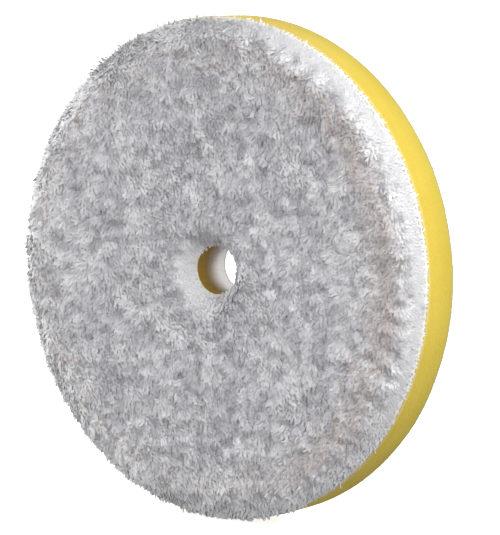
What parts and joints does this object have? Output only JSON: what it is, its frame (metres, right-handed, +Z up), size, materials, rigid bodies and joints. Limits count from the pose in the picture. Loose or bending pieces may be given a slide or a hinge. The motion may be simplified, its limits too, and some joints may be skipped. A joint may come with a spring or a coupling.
{
  "type": "polishing pad",
  "caption": "Round foam polishing pad with a fibre pile face, a loop fabric back and a centre hole, for a machine polisher.",
  "frame": {"origin": "centre of the bore at the loop face, which lies in the plane y = 0", "axes": "+Y along the bore, out of the loop face towards the machine; the pile faces -Y; +Z up with the pad standing on its rim"},
  "size_m": [0.15, 0.0202, 0.15],
  "materials": {
    "loop_fabric": "looped nylon knit",
    "glue": "dried film",
    "foam": "fine open-cell polyurethane foam",
    "knit": "tight knit",
    "pile": "curled microfibre pile"
  },
  "bodies": {
    "root": {"loop_nap": "loop_fabric", "loop_cloth": "loop_fabric", "rear_glue_film": "glue", "foam_disc": "foam", "front_glue_film": "glue", "knit_cloth": "knit", "pile": "pile"}
  },
  "joints": []
}
